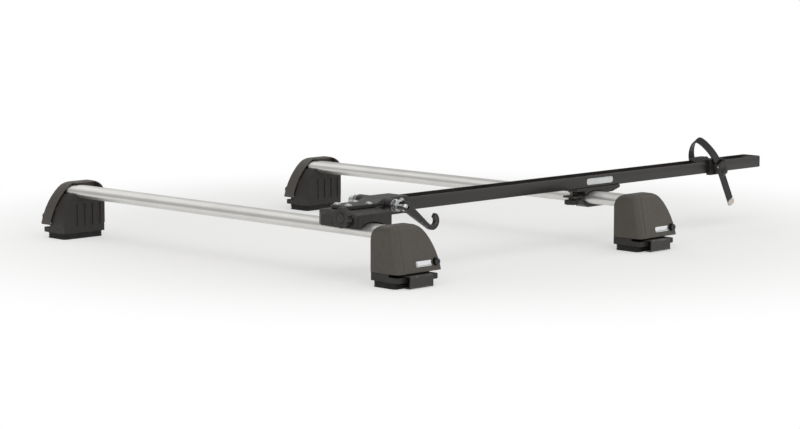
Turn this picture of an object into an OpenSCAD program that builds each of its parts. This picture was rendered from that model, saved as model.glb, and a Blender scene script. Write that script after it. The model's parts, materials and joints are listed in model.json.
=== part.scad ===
// Roof mounted bike carrier: a fork-mount rail on two wing bars with four clamp feet.
// X runs to the rear of the roof, Z is up, and the origin is under the middle of the set.

/* [Roof bars] */
// Distance between the two bars
bar_spacing = 690; // [500:5:900]
// Length of each bar
bar_length = 950; // [860:5:1200]
// Depth of the wing section, front to back
bar_chord = 66; // [60:1:72]
// Height of the wing section
bar_thick = 26; // [23:0.5:29]
// How much fuller the front half of the section is than the rear half
bar_egg = 0.25; // [0:0.05:0.35]
// Wall of the hollow bar
bar_wall = 2.4; // [2:0.2:3]
// Underside of the bars above the roof
bar_height = 84; // [78:1:96]
// Mouth of the fixing slot under the bar
slot_mouth = 9; // [8.6:0.2:11]
// Inside width of the fixing slot
slot_width = 17; // [15:0.5:20]
// Inside height of the fixing slot
slot_height = 6; // [5:0.5:7]
// Thickness of the lips beside the slot's mouth
slot_lip = 3; // [2.4:0.2:3.6]

/* [Foot covers] */
// Bar end to the inner face of a foot
foot_inset = 30; // [24:1:36]
// Bar centre to the upright side of a cover
cover_square = 48; // [44:1:56]
// Bar centre to the bottom of the sloping side of a cover
cover_slant = 66; // [60:1:76]
// Flat top of a cover on the sloping side of the bar centre
cover_crown = 10; // [4:1:16]
// Top of a cover above the bar
cover_rise = 6; // [5:0.5:9]
// Lower edge of a cover above the roof
cover_foot = 28; // [26:1:34]
// Outer face of a cover at its top, from the foot's inner face
cover_top_out = 58; // [54:1:62]
// Outer face of a cover at its lower edge, from the foot's inner face
cover_bottom_out = 74; // [70:1:81]
// Radius of the cut-back at the top of the upright side
cover_shoulder = 28; // [16:1:34]
// Radius along the top of the outer face
cover_edge = 12; // [6:1:16]
// Radius between the top and the upright side
cover_corner = 14; // [8:1:18]
// Radius between the outer face and the upright side
cover_round = 11; // [6:1:14]
// Depth of the sloping side behind the outer face
cover_return = 30; // [22:1:36]
// Wall of the cover
cover_wall = 2.6; // [2:0.2:3.2]
// Room between the cover and the base
cover_fit = 1.4; // [0.8:0.1:2]
// Radius of the lock barrel
lock_r = 6.5; // [5:0.5:8]

/* [Feet] */
// Thickness of the rubber roof pad
pad_thick = 12; // [8:1:14]
// Thickness of the foot plate on the pad
plate_thick = 10; // [8:0.5:12]
// Depth of the foot plate, outward from the inner face
plate_depth = 72; // [66:1:76]
// Depth of the tower that carries the bar
tower_depth = 46; // [44:1:47]
// How far the tower grips up the sides of the bar
tower_grip = 10; // [6:1:12]
// Width of the hook along the roof
hook_width = 60; // [40:1:64]
// Thickness of the hook plate
hook_thick = 3; // [2.5:0.5:4]
// Hook leg beyond the foot plate
hook_reach = 11; // [8:1:14]
// Length of the hook's lip under the roof edge
hook_lip = 17; // [10:1:20]
// Lowest point of the hook above the pad's underside
hook_ground = 1; // [0.6:0.2:3]
// Clamp bolt above the roof
clamp_bolt_z = 50; // [46:1:54]
// Radius of the foot's bolts
foot_bolt_r = 4; // [3:0.5:4]

/* [Rail] */
// Near end of the bars to the middle of the rail
rail_inset = 135; // [125:5:275]
// Width of the rail
rail_width = 46; // [40:1:52]
// Height of the rail
rail_height = 25; // [23:0.5:30]
// Wall of the rail
rail_wall = 2.5; // [2:0.1:3]
// Height of the nut channel in the underside of the rail
rail_channel = 7.5; // [7:0.5:9]
// Mouth of the nut channel
rail_mouth = 12; // [10:0.5:14]
// Rail's underside above the bars
rail_lift = 8; // [3.4:0.2:10]
// Rail's rear end behind the middle of the strap
rail_tail = 160; // [150:5:300]
// Face of the rail's end cap
cap_face = 4; // [2:0.5:6]

/* [Fork head] */
// Room between the cross tube and the opened front jaw
axle_room = 3; // [2:0.5:10]
// Axle above the bars
axle_lift = 25; // [20:1:28]
// Distance between the fork's dropouts
fork_width = 100; // [96:1:110]
// Radius of the axle rod
axle_r = 4.5; // [4:0.1:5]
// Radius of the cross tube
tube_r = 13; // [11:0.5:15]
// Room for one dropout
dropout_gap = 7; // [6:0.5:10]
// Thickness of each steel dropout face
face_thick = 2; // [1.5:0.5:3]
// Length of the socket round the rail
socket_length = 40; // [30:1:60]
// Wall of the socket
socket_wall = 4; // [3:0.5:5]
// Thickness of the neck on the saddle
neck_thick = 7; // [5:0.5:10]

/* [Axle lever] */
// Lever's slope below level, in degrees
lever_slope = 34; // [0:1:40]
// Lever from its pin to the middle of the finger ring
lever_length = 76; // [50:1:84]
// Radius of the finger ring
ring_r = 17; // [12:0.5:19]
// Radius of the cam
cam_r = 9; // [8:0.5:10]
// Throw of the cam off its pin
cam_throw = 1.5; // [1:0.1:2]
// Radius of the cam pin
cam_pin_r = 3; // [2.5:0.1:3.4]

/* [Front clamp] */
// Width of the saddle across the roof
saddle_width = 140; // [130:1:160]
// Front of the saddle ahead of the bar
saddle_lip = 15; // [13:0.5:20]
// Rear of the saddle behind the bar centre
saddle_rear = 46; // [44:1:50]
// Top of the saddle above the bar
saddle_top = 22; // [20:0.5:26]
// Rubber between the clamps and the bars
liner_thick = 2; // [1.5:0.1:2.5]
// Knob's axis above the bar
front_knob_lift = 13; // [12:0.5:14]
// Radius of the front knob
front_knob_r = 20; // [16:0.5:22]
// Thickness of the front knob
front_knob_thick = 14; // [10:0.5:17]
// Thickness of the front jaw behind the bar
hook_jaw_thick = 9.5; // [8:0.5:12]
// Width of the front jaw
hook_jaw_width = 22; // [18:1:24]
// Travel of the front jaw
hook_jaw_travel = 4; // [3:0.5:5]
// Radius of both knob screws
screw_r = 4; // [3:0.5:4]

/* [Rear clamp] */
// Front of the bracket ahead of the knob's screw
bracket_front = 10; // [9:0.5:16]
// Rear of the bracket behind the bar centre
bracket_rear = 72; // [68:1:90]
// Width of the bracket
bracket_width = 48; // [44:1:56]
// Thickness of the bracket's plate under the rail
bracket_plate = 6; // [5:0.5:8]
// Thickness of the jaw's plate
jaw_thick = 4; // [3.5:0.5:5]
// Width of the jaw
jaw_width = 32; // [26:1:40]
// Travel of the jaw
jaw_travel = 6; // [4:0.5:7]
// Length of the knob's hub
hub_length = 4; // [2:0.5:6]
// Radius of the rear knob
rear_knob_r = 14.5; // [13:0.5:16]
// Thickness of the rear knob
rear_knob_thick = 9.5; // [8:0.5:11]

/* [Wheel strap] */
// Strap behind the front bar
strap_x = 1080; // [1060:5:1100]
// Width of the strap
strap_width = 19; // [17:1:25]
// Thickness of the strap
strap_thick = 3; // [2:0.2:3.4]
// Height of the strap's arch above the rail
strap_rise = 62; // [55:1:110]
// How much the arch draws in towards its top
strap_pinch = 0.3; // [0:0.05:0.4]
// Lean of the strap towards the front, in degrees
strap_lean = 28; // [0:1:32]
// Length of the tail below the buckle
tail_length = 73; // [30:1:80]
// Length of the cradle along the rail
cradle_length = 60; // [50:1:80]
// Radius of the tyre seat
tyre_seat_r = 28; // [24:1:30]

/* [Fits] */
// Gap between pieces that move past each other
move_gap = 0.3; // [0.25:0.05:0.5]
// Radial clearance of a pin or screw that turns
turn_fit = 0.08; // [0.03:0.01:0.1]
// Clearance of a piece that is bolted in place
seat_fit = 0.1; // [0.05:0.01:0.15]
// Radial clearance of a bolt in its hole
bolt_fit = 0.2; // [0.1:0.05:0.3]

/* [Hidden] */
$fn = 48;
EPS = 1;
FAR = 400;
WING_STEP = 7.5;

// heights
bar_top = bar_height + bar_thick;
bar_mid = bar_height + bar_thick / 2;
cover_top = bar_top + cover_rise;
plate_top = pad_thick + plate_thick;
tower_top = bar_mid - bar_thick / 2 + tower_grip;
rail_bottom = bar_top + rail_lift;
rail_top = rail_bottom + rail_height;
floor_top = rail_bottom + 2 * rail_wall + rail_channel;
axle_z = bar_top + axle_lift;
saddle_z = bar_top + saddle_top;

// places across the roof
bar_half = bar_length / 2;
foot_in = bar_half - foot_inset;
rail_y = rail_inset - bar_half;
hook_out = plate_depth + hook_reach;

// the foot's pieces, in the foot's own frame
hook_x = -6;
hook_y = tower_depth + move_gap;
hook_shelf = plate_top + move_gap;
hook_top = clamp_bolt_z + 16;
bolt_head_r = 7;
bolt_head = 6.5;
bolt_grip = 21;
bar_bolt_y = 12;
nut_pocket_r = 9;
nut_drop = 26;
nut_seat = bar_height - nut_drop;
pocket_wall = 20;
pocket_half = 8;
pocket_x = [-0.52 * cover_slant, 0.5 * cover_square];
lock_x = 12 - cover_slant;
lock_z = cover_foot + 16;
lock_proud = 6;
lock_back = tower_depth + 11;
lock_tab = 2.5;

// the front clamp, from the front bar's centre
lead = bar_chord / 2;
liner_out = liner_thick + move_gap;
liner_bed = liner_out + seat_fit;
saddle_front = lead + saddle_lip;
lip_low = bar_mid + 5;
saddle_low = bar_mid + 3;
knob_rear = saddle_front + move_gap;
knob_front = knob_rear + front_knob_thick;
front_knob_y = -0.31 * saddle_width;
front_knob_z = bar_top + front_knob_lift;
jaw_front = saddle_rear + move_gap;
jaw_rear = jaw_front + hook_jaw_thick;
toe_front = 22;
toe_low = bar_height - 6;

// the head and the axle, across the rail's middle
axle_x = jaw_rear + hook_jaw_travel + axle_room + tube_r;
tube_half = fork_width / 2 - face_thick;
cup_in = fork_width / 2 + dropout_gap;
cup_thick = 7;
cup_out = cup_in + cup_thick;
cam_gap = 0.5;
cam_y = cup_out + cam_gap + cam_throw + cam_r;
eye_thick = 7;
cam_thick = 5;
rail_start = axle_x + tube_r + 5;
neck_front = 26;
neck_half = 30;

// the rear clamp, from the rear bar's centre
rear_screw_x = lead + rear_knob_r + 6;
tongue_x = 42;
tongue_thick = 4;
tongue_half = 10;
tongue_top = rail_bottom - 5;
tongue_grip = 14;
jaw_bed = 0.5;
jaw_top = bar_height - 3;
jaw_low = jaw_top - jaw_thick;
jaw_nose = lead + 2.5;
jaw_ear_low = bar_mid + 1;
bracket_low = bar_top - 5;
bracket_bolt_x = 60;
bracket_bolt_r = 3;
nut_high = rail_channel - 1.5;

// the wheel strap, in the strap's own leaning frame
cradle_half = rail_width / 2 + 6;
strap_half = cradle_half + 5 + move_gap + strap_thick / 2;
strap_z = rail_bottom + 16;
buckle_low = -14;
buckle_high = 10;
cheek = 3;
pin_out = strap_half + 7;
buckle_pin_s = 4;
buckle_pin_r = 2.5;

// the set's reach in front of and behind the front bar's centre
rail_end = strap_x + rail_tail;
front_reach = max(cover_slant, knob_front);
rear_reach = rail_end + cap_face;
front_x = (front_reach - rear_reach) / 2;

FEET = [
    ["front_left", 0, -1], ["front_right", 0, 1], ["rear_left", 1, -1], ["rear_right", 1, 1]
];
FOOT_PIECES = ["base", "pad", "hook", "clamp_bolt", "cover", "lock"];

// Extrudes a shape drawn across X and Z along Y.
module along_y(y0, y1) {
    translate([0, y1, 0])
        rotate([90, 0, 0])
            linear_extrude(height = y1 - y0) children();
}

// Extrudes a shape drawn across Y and Z along X.
module along_x(x0, x1) {
    translate([x0, 0, 0])
        rotate([90, 0, 90])
            linear_extrude(height = x1 - x0) children();
}

// A box between two corners.
module block(low, high) {
    translate(low) cube(high - low);
}

module rod_x(x0, x1, y, z, r) {
    translate([x0, y, z]) rotate([0, 90, 0]) cylinder(r = r, h = x1 - x0);
}

module rod_y(y0, y1, x, z, r) {
    translate([x, y1, z]) rotate([90, 0, 0]) cylinder(r = r, h = y1 - y0);
}

module rod_z(z0, z1, x, y, r) {
    translate([x, y, z0]) cylinder(r = r, h = z1 - z0);
}

// A rectangle with round corners, from its low corner to its high one.
module round_rect(low, high, r) {
    translate([low.x + r, low.y]) square([high.x - low.x - 2 * r, high.y - low.y]);
    translate([low.x, low.y + r]) square([high.x - low.x, high.y - low.y - 2 * r]);
    for (x = [low.x + r, high.x - r], y = [low.y + r, high.y - r]) {
        translate([x, y]) circle(r);
    }
}

// Points along an arc round a centre, from one angle to another.
function arc_points(x, y, r, from, to) = [
    for (i = [0:6]) let (a = from + (to - from) * i / 6) [x + r * cos(a), y + r * sin(a)]
];

// Points of the wing section, grown all round.
function wing_bulge(t) = sin(t) * (1 + bar_egg * cos(t));
wing_peak = max([for (t = [0:WING_STEP:180]) wing_bulge(t)]);
function wing_points(grow, side) = [
    for (t = [0:WING_STEP:360 - WING_STEP]) [
        -side * (bar_chord / 2 + grow) * cos(t),
        bar_mid + (bar_thick / 2 + grow) * wing_bulge(t) / wing_peak
    ]
];

// The section with its fuller half at -X, or at +X where side is -1.
module wing(grow, side = 1) {
    polygon(wing_points(grow, side));
}

// A knob with finger lobes, its face up, its back at Z = 0.
module knob_head(r, thick) {
    lobes = 6;
    dish = 1.5;
    difference() {
        cylinder(r = r, h = thick);
        for (i = [0:lobes - 1]) {
            rotate([0, 0, (i + 0.5) * 360 / lobes])
                translate([r * 1.22, 0, -EPS])
                    cylinder(r = r * 0.36, h = thick + 2 * EPS);
        }
        translate([0, 0, thick - dish]) cylinder(r = r * 0.55, h = dish + EPS);
    }
}

// Bars

module at_bar(row) {
    translate([front_x + row * bar_spacing, 0, 0]) children();
}

module slot_section(mouth, width, floor_z, roof_z) {
    translate([-mouth / 2, bar_height - EPS]) square([mouth, slot_lip + 2 * EPS]);
    translate([-width / 2, floor_z]) square([width, roof_z - floor_z]);
}

module roof_bar(row) {
    slot_roof = bar_height + slot_lip + slot_height;
    color("silver") at_bar(row) along_y(-bar_half, bar_half) difference() {
        wing(0);
        difference() {
            wing(-bar_wall);
            translate([-slot_width / 2 - bar_wall, bar_height])
                square([slot_width + 2 * bar_wall, slot_lip + slot_height + bar_wall]);
        }
        slot_section(slot_mouth, slot_width, bar_height + slot_lip, slot_roof);
    }
}

module slot_strip(row) {
    flange = 1.2;
    end = foot_in - move_gap;
    mouth = slot_mouth - 2 * seat_fit;
    color("dimgray") at_bar(row) along_y(-end, end) intersection() {
        wing(-move_gap);
        union() {
            translate([-mouth / 2, bar_height]) square([mouth, slot_lip + flange]);
            translate([-slot_width / 2 + 1, bar_height + slot_lip + seat_fit])
                square([slot_width - 2, flange]);
        }
    }
}

// Feet, in a frame with the inner face at Y = 0, the outside at +Y and the sloping side at -X

module at_foot(f) {
    translate([front_x + f[1] * bar_spacing, f[2] * foot_in, 0])
        rotate([0, 0, f[2] > 0 ? 0 : 180])
            children();
}

// The cover seen along the bar: upright on +X, sloping on -X.
module cover_side(inset, low) {
    square_x = cover_square - inset;
    slant_x = cover_slant - inset;
    top = cover_top - inset;
    corner = cover_corner - inset / 2;
    bow = 1.15;
    polygon(concat(
        [[square_x, low]],
        arc_points(square_x - corner, top - corner, corner, 0, 90),
        [for (a = [90:-9:0]) [
            -cover_crown - (slant_x - cover_crown) * pow(cos(a), bow),
            cover_foot + (top - cover_foot) * pow(sin(a), bow)
        ]],
        [[-slant_x, low]]
    ));
}

function cover_out(z) =
    cover_bottom_out
    + (cover_top_out - cover_bottom_out) * (z - cover_foot) / (cover_top - cover_edge - cover_foot);

// The cover seen along the roof: its cut-back shoulder, its top and its leaning outer face.
module cover_end(inset, low, inner, shoulder) {
    top = cover_top - inset;
    out = cover_top_out - inset;
    polygon(concat(
        [[inner, low]],
        shoulder > 0
            ? arc_points(inner + shoulder, top - shoulder, shoulder, 180, 90)
            : [[inner, top]],
        arc_points(out - cover_edge, top - cover_edge, cover_edge, 90, 0),
        [[cover_out(low) - inset, low]]
    ));
}

// A prism that leans with the outer face and rounds its corner with the upright side.
module cover_turn(inset) {
    lean = atan((cover_bottom_out - cover_top_out) / (cover_top - cover_edge - cover_foot));
    r = cover_round - inset;
    translate([0, cover_bottom_out - inset, cover_foot]) rotate([lean, 0, 0])
        translate([0, 0, -FAR]) linear_extrude(2 * FAR)
            round_rect([-FAR, -FAR], [cover_square - inset, 0], r);
}

module cover_block(inset, low, inner, shoulder) {
    intersection() {
        along_y(-EPS, FAR) cover_side(inset, low);
        along_x(-FAR, FAR) cover_end(inset, low, inner, shoulder);
        cover_turn(inset);
    }
}

module foot_base(f) {
    inset = cover_wall + cover_fit;
    plate_r = 6;
    runner_z = clamp_bolt_z + 10;
    color("#232322") at_foot(f) difference() {
        union() {
            intersection() {
                along_y(0, tower_depth) cover_side(inset, pad_thick);
                block([-FAR, 0, pad_thick], [FAR, tower_depth, tower_top]);
            }
            intersection() {
                along_y(tower_depth - 16, tower_depth) cover_side(cover_wall + move_gap, pad_thick);
                block([-FAR, 0, runner_z], [FAR, FAR, runner_z + 6]);
            }
            translate([0, 0, pad_thick]) linear_extrude(plate_thick)
                round_rect([inset - cover_slant, 0], [cover_square - inset, plate_depth], plate_r);
        }
        along_y(-EPS, FAR) wing(seat_fit, f[2]);
        rod_z(nut_seat - EPS, bar_height + EPS, 0, bar_bolt_y, foot_bolt_r + bolt_fit);
        rod_z(pad_thick - EPS, nut_seat, 0, bar_bolt_y, nut_pocket_r);
        rod_y(tower_depth - bolt_grip, tower_depth + EPS, hook_x, clamp_bolt_z, foot_bolt_r + turn_fit);
        for (x = pocket_x) {
            block([x - pocket_half, tower_depth - pocket_wall, plate_top + 4],
                  [x + pocket_half, tower_depth + EPS, tower_top - 16]);
        }
    }
}

module foot_pad(f) {
    edge = 2;
    margin = cover_wall + cover_fit + edge;
    color("#1a1a1a") at_foot(f) linear_extrude(pad_thick)
        round_rect([margin - cover_slant, edge], [cover_square - margin, plate_depth - hook_lip + 6], 8);
}

module foot_hook(f) {
    t = hook_thick;
    low = hook_ground;
    section = [
        [hook_y, hook_shelf], [hook_y, hook_top], [hook_y + t, hook_top], [hook_y + t, hook_shelf + t],
        [hook_out, hook_shelf + t], [hook_out, low], [hook_out - hook_lip, low],
        [hook_out - hook_lip, low + t], [hook_out - t, low + t], [hook_out - t, hook_shelf]
    ];
    color("#3b3b3a") at_foot(f) difference() {
        along_x(hook_x - hook_width / 2, hook_x + hook_width / 2) polygon(section);
        rod_y(0, hook_out, hook_x, clamp_bolt_z, foot_bolt_r + turn_fit);
    }
}

module foot_clamp_bolt(f) {
    head_y = hook_y + hook_thick + move_gap / 3;
    socket_r = 3.4;
    color("#8d8f92") at_foot(f) difference() {
        union() {
            rod_y(tower_depth - bolt_grip + 5, head_y + EPS, hook_x, clamp_bolt_z, foot_bolt_r);
            rod_y(head_y, head_y + bolt_head, hook_x, clamp_bolt_z, bolt_head_r);
        }
        translate([hook_x, head_y + bolt_head + EPS, clamp_bolt_z])
            rotate([90, 0, 0]) cylinder(r = socket_r, h = 4 + EPS, $fn = 6);
    }
}

module foot_cover(f) {
    inner = 3;
    boss = 3;
    low = cover_foot;
    return_y = cover_top_out - cover_return;
    color("#55524d") at_foot(f) difference() {
        union() {
            difference() {
                cover_block(0, low, inner, cover_shoulder);
                cover_block(cover_wall, low - EPS, -EPS, 0);
                along_x(-FAR, -cover_crown - 4) polygon([
                    [-EPS, low - EPS], [-EPS, cover_top + EPS], [return_y, cover_top + EPS],
                    [return_y, cover_top - cover_edge], [cover_out(low - EPS) - cover_return, low - EPS]
                ]);
            }
            intersection() {
                cover_block(cover_wall / 2, low, inner, cover_shoulder);
                rod_y(lock_back + 3, FAR, lock_x, lock_z, lock_r + boss);
            }
        }
        rod_y(lock_back, FAR, lock_x, lock_z, lock_r + turn_fit);
    }
}

module foot_lock(f) {
    face_y = cover_out(lock_z) + lock_proud;
    slot = 1.2;
    color("#1d1d1d") at_foot(f) translate([lock_x, 0, lock_z]) difference() {
        union() {
            rod_y(lock_back, face_y, 0, 0, lock_r);
            block([-lock_tab, lock_back - lock_tab, -3], [lock_tab, lock_back + EPS, lock_r + 5]);
        }
        block([-slot / 2, face_y - 2, -lock_r / 2], [slot / 2, face_y + EPS, lock_r / 2]);
    }
}

module bar_bolts() {
    head = slot_height - 1.5;
    head_z = bar_height + slot_lip + seat_fit;
    nut = 6.5;
    half = slot_width / 2 - 0.5;
    long = 7;
    color("#a7a9ab") for (f = FEET) at_foot(f) {
        rod_z(nut_seat - nut - 2, head_z + EPS, 0, bar_bolt_y, foot_bolt_r);
        block([-half, bar_bolt_y - long, head_z], [half, bar_bolt_y + long, head_z + head]);
        translate([0, bar_bolt_y, nut_seat - nut]) cylinder(r = nut_pocket_r - 1.8, h = nut, $fn = 6);
    }
}

// Carrier, in a frame with the front bar's centre at X = 0 and the rail's middle at Y = 0

module at_carrier() {
    translate([front_x, rail_y, 0]) children();
}

module at_rear_clamp() {
    translate([front_x + bar_spacing, rail_y, 0]) children();
}

module rail_section() {
    half = rail_width / 2;
    inside = rail_width - 2 * rail_wall;
    difference() {
        translate([-half, rail_bottom]) square([rail_width, rail_height]);
        translate([-inside / 2, floor_top]) square([inside, FAR]);
        translate([-inside / 2, rail_bottom + rail_wall]) square([inside, rail_channel]);
        translate([-rail_mouth / 2, rail_bottom - EPS]) square([rail_mouth, rail_wall + 2 * EPS]);
    }
}

socket_mid = rail_start + socket_length / 2;
side_bolt_z = (floor_top + rail_top) / 2;
side_bolt_r = 3;

module rail() {
    color("#2a2a2a") at_carrier() difference() {
        along_x(rail_start, rail_end) rail_section();
        rod_y(-FAR, FAR, socket_mid, side_bolt_z, side_bolt_r + bolt_fit);
    }
}

module rail_end_cap() {
    plug = 12;
    half = rail_width / 2 - rail_wall - seat_fit;
    color("#1b1b1b") at_carrier() {
        along_x(rail_end, rail_end + cap_face)
            round_rect([-rail_width / 2, rail_bottom], [rail_width / 2, rail_top], 3);
        block([rail_end - plug, -half, floor_top + seat_fit], [rail_end + EPS, half, rail_top - 3]);
    }
}

neck_bolts = [[-14, 15], [-14, -15], [36, 19], [36, -19]];
neck_bolt_r = 3;
neck_bolt_deep = 10;

module neck_plan() {
    r = 9;
    half = neck_half - 6;
    polygon([[r - neck_front, -half], [r - neck_front, half], [axle_x, neck_half], [axle_x, -neck_half]]);
    round_rect([-neck_front, -half], [neck_front, half], r);
}

module fork_head() {
    half = rail_width / 2 + socket_wall;
    low = rail_bottom - socket_wall;
    high = rail_top + socket_wall;
    socket_end = rail_start + socket_length;
    color("#262626") at_carrier() difference() {
        union() {
            rod_y(-tube_half, tube_half, axle_x, axle_z, tube_r);
            translate([0, 0, saddle_z]) linear_extrude(neck_thick) neck_plan();
            along_y(-half, half) polygon([
                [saddle_rear + 4, saddle_z], [saddle_rear + 4, saddle_z + neck_thick], [axle_x - 6, high],
                [socket_end, high], [socket_end, low], [axle_x, low]
            ]);
        }
        rod_y(-FAR, FAR, axle_x, axle_z, axle_r + turn_fit);
        block([rail_start, -half + socket_wall - seat_fit, rail_bottom - seat_fit],
              [socket_end + EPS, half - socket_wall + seat_fit, rail_top + seat_fit]);
        rod_y(-FAR, FAR, socket_mid, side_bolt_z, side_bolt_r + bolt_fit);
        for (b = neck_bolts) {
            rod_z(saddle_z - EPS, saddle_z + FAR, b.x, b.y, neck_bolt_r + bolt_fit);
        }
    }
}

module dropout_faces() {
    color("#9a9c9f") at_carrier() for (side = [-1, 1]) {
        difference() {
            translate([axle_x, side * (tube_half + face_thick / 2), axle_z])
                rotate([90, 0, 0]) cylinder(r = tube_r - 1, h = face_thick, center = true);
            rod_y(-FAR, FAR, axle_x, axle_z, axle_r + turn_fit);
        }
    }
}

module head_bolts() {
    head_r = 6;
    head = 3.6;
    half = rail_width / 2 + socket_wall;
    color("#8d8f92") at_carrier() {
        for (b = neck_bolts) {
            rod_z(saddle_z - neck_bolt_deep, saddle_z + neck_thick + EPS, b.x, b.y, neck_bolt_r);
            rod_z(saddle_z + neck_thick, saddle_z + neck_thick + head, b.x, b.y, head_r);
        }
        rod_y(half, half + head, socket_mid, side_bolt_z, head_r);
        rod_y(half - socket_wall - 6, half + EPS, socket_mid, side_bolt_z, side_bolt_r);
        rod_y(-half - head, -half, socket_mid, side_bolt_z, head_r);
        rod_y(-half - EPS, -half + socket_wall + 6, socket_mid, side_bolt_z, side_bolt_r);
    }
}

// Front clamp

module saddle_plan() {
    half = saddle_width / 2;
    nose = front_knob_r + 3;
    polygon([
        [saddle_rear, half - 8], [toe_front, half], [-lead - 4, neck_half + 10],
        [-saddle_front, neck_half - 6], [-saddle_front, front_knob_y - nose], [-lead - 8, -half],
        [saddle_rear, -half]
    ]);
}

module saddle_front_view() {
    half = saddle_width / 2;
    polygon([
        [-half, 0], [-half, saddle_z - 4], [-neck_half - 4, saddle_z], [neck_half + 4, saddle_z],
        [half, saddle_z - 10], [half, 0]
    ]);
}

module saddle_side_view() {
    polygon([
        [-saddle_front, lip_low], [-saddle_front, bar_top + 12], [-lead - 4, saddle_z],
        [saddle_rear, saddle_z], [saddle_rear, saddle_low]
    ]);
}

module front_saddle() {
    color("#2c2b2a") at_carrier() difference() {
        intersection() {
            linear_extrude(FAR) saddle_plan();
            along_x(-FAR, FAR) saddle_front_view();
            along_y(-FAR, FAR) saddle_side_view();
        }
        along_y(-FAR, FAR) wing(liner_bed);
        rod_x(-FAR, FAR, front_knob_y, front_knob_z, screw_r + turn_fit);
        for (b = neck_bolts) {
            rod_z(saddle_z - neck_bolt_deep - 1, saddle_z + EPS, b.x, b.y, neck_bolt_r + bolt_fit);
        }
    }
}

module front_liner() {
    color("#151515") at_carrier() intersection() {
        along_y(-saddle_width / 2 + 6, neck_half + 8) difference() {
            wing(liner_out);
            wing(move_gap);
        }
        block([-lead + 6, -FAR, bar_mid + 5], [lead - 4, FAR, FAR]);
    }
}

// The hooked jaw that draws in behind and under the bar.
module front_jaw() {
    half = hook_jaw_width / 2;
    color("#2f2f2f") at_carrier() difference() {
        along_y(front_knob_y - half, front_knob_y + half) polygon([
            [jaw_front, front_knob_z + screw_r + 2], [jaw_rear, front_knob_z + screw_r + 2],
            [jaw_rear, toe_low + 8], [jaw_rear - 8, toe_low], [toe_front, toe_low],
            [toe_front, saddle_low - move_gap], [jaw_front, saddle_low - move_gap]
        ]);
        along_y(-FAR, FAR) wing(move_gap);
        block([-FAR, -FAR, bar_mid], [lead - 3, FAR, FAR]);
        rod_x(0, FAR, front_knob_y, front_knob_z, screw_r + turn_fit);
    }
}

module front_knob() {
    end = jaw_rear + hook_jaw_travel;
    color("#1e1e1e") at_carrier() translate([0, front_knob_y, front_knob_z]) {
        rod_x(-knob_rear - EPS, end, 0, 0, screw_r);
        translate([-knob_rear, 0, 0]) rotate([0, -90, 0]) knob_head(front_knob_r, front_knob_thick);
    }
}

// Rear clamp

module rear_bracket() {
    half = bracket_width / 2;
    front = rear_screw_x + bracket_front;
    plate_low = rail_bottom - bracket_plate;
    boss = tongue_thick / 2 + move_gap + 4;
    color("#222222") at_rear_clamp() difference() {
        union() {
            along_y(-half, half) polygon([
                [-front, plate_low], [-front, rail_bottom], [bracket_rear, rail_bottom],
                [bracket_rear, plate_low], [tongue_x + boss, bracket_low], [-jaw_nose, bracket_low],
                [-jaw_nose - 5, plate_low]
            ]);
            block([tongue_x - boss, -tongue_half - 4, tongue_top - jaw_travel - tongue_grip],
                  [tongue_x + boss, tongue_half + 4, rail_bottom]);
        }
        along_y(-FAR, FAR) wing(liner_bed);
        rod_z(0, FAR, -rear_screw_x, 0, screw_r + bolt_fit);
        rod_z(0, rail_bottom - 5, bracket_bolt_x, 0, 6.5 + bolt_fit);
        rod_z(0, FAR, bracket_bolt_x, 0, bracket_bolt_r + bolt_fit);
        block([tongue_x - tongue_thick / 2 - move_gap, -tongue_half - move_gap, 0],
              [tongue_x + tongue_thick / 2 + move_gap, tongue_half + move_gap, rail_bottom - 3]);
    }
}

module rear_liner() {
    half = bracket_width / 2 - 3;
    color("#151515") at_rear_clamp() intersection() {
        along_y(-half, half) difference() {
            wing(liner_out);
            wing(move_gap);
        }
        block([-lead, -FAR, bracket_low], [lead, FAR, FAR]);
    }
}

// The arm runs from its ear on the screw, down round the bar's nose and under the bar to its tongue.
module rear_jaw() {
    half = jaw_width / 2;
    ear = 9;
    grip = 20;
    ear_top = jaw_ear_low + jaw_thick;
    color("#2b2b2b") at_rear_clamp() difference() {
        union() {
            along_y(-half, half) polygon([
                [-rear_screw_x - ear, jaw_ear_low], [-rear_screw_x - ear, ear_top], [-jaw_nose, ear_top],
                [-jaw_nose, bar_mid], [-grip, bar_height + 6], [grip, bar_height + 4], [grip, jaw_top],
                [tongue_x + tongue_thick / 2, jaw_top], [tongue_x + tongue_thick / 2, jaw_low],
                [-grip, jaw_low], [-jaw_nose + 2, bar_height], [-jaw_nose - jaw_thick, jaw_ear_low]
            ]);
            block([tongue_x - tongue_thick / 2, -tongue_half, jaw_top - EPS],
                  [tongue_x + tongue_thick / 2, tongue_half, tongue_top]);
        }
        along_y(-FAR, FAR) wing(jaw_bed);
        rod_z(0, FAR, -rear_screw_x, 0, screw_r + turn_fit);
    }
}

module rear_knob() {
    hub_top = jaw_ear_low - move_gap;
    hub_r = 6.5;
    screw_top = rail_bottom + rail_wall + rail_channel - move_gap;
    color("#1e1e1e") at_rear_clamp() translate([-rear_screw_x, 0, 0]) {
        rod_z(hub_top - hub_length - EPS, hub_top, 0, 0, hub_r);
        rod_z(hub_top - EPS, screw_top, 0, 0, screw_r);
        translate([0, 0, hub_top - hub_length]) rotate([180, 0, 0]) knob_head(rear_knob_r, rear_knob_thick);
    }
}

module rail_nuts() {
    half_x = 8;
    half_y = rail_width / 2 - rail_wall - 4;
    low = rail_bottom + rail_wall + seat_fit;
    color("#9a9c9f") at_rear_clamp() {
        for (n = [[-rear_screw_x, screw_r + turn_fit], [bracket_bolt_x, bracket_bolt_r + seat_fit]]) {
            difference() {
                block([n[0] - half_x, -half_y, low], [n[0] + half_x, half_y, low + nut_high - 0.5]);
                rod_z(0, FAR, n[0], 0, n[1]);
            }
        }
    }
}

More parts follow.
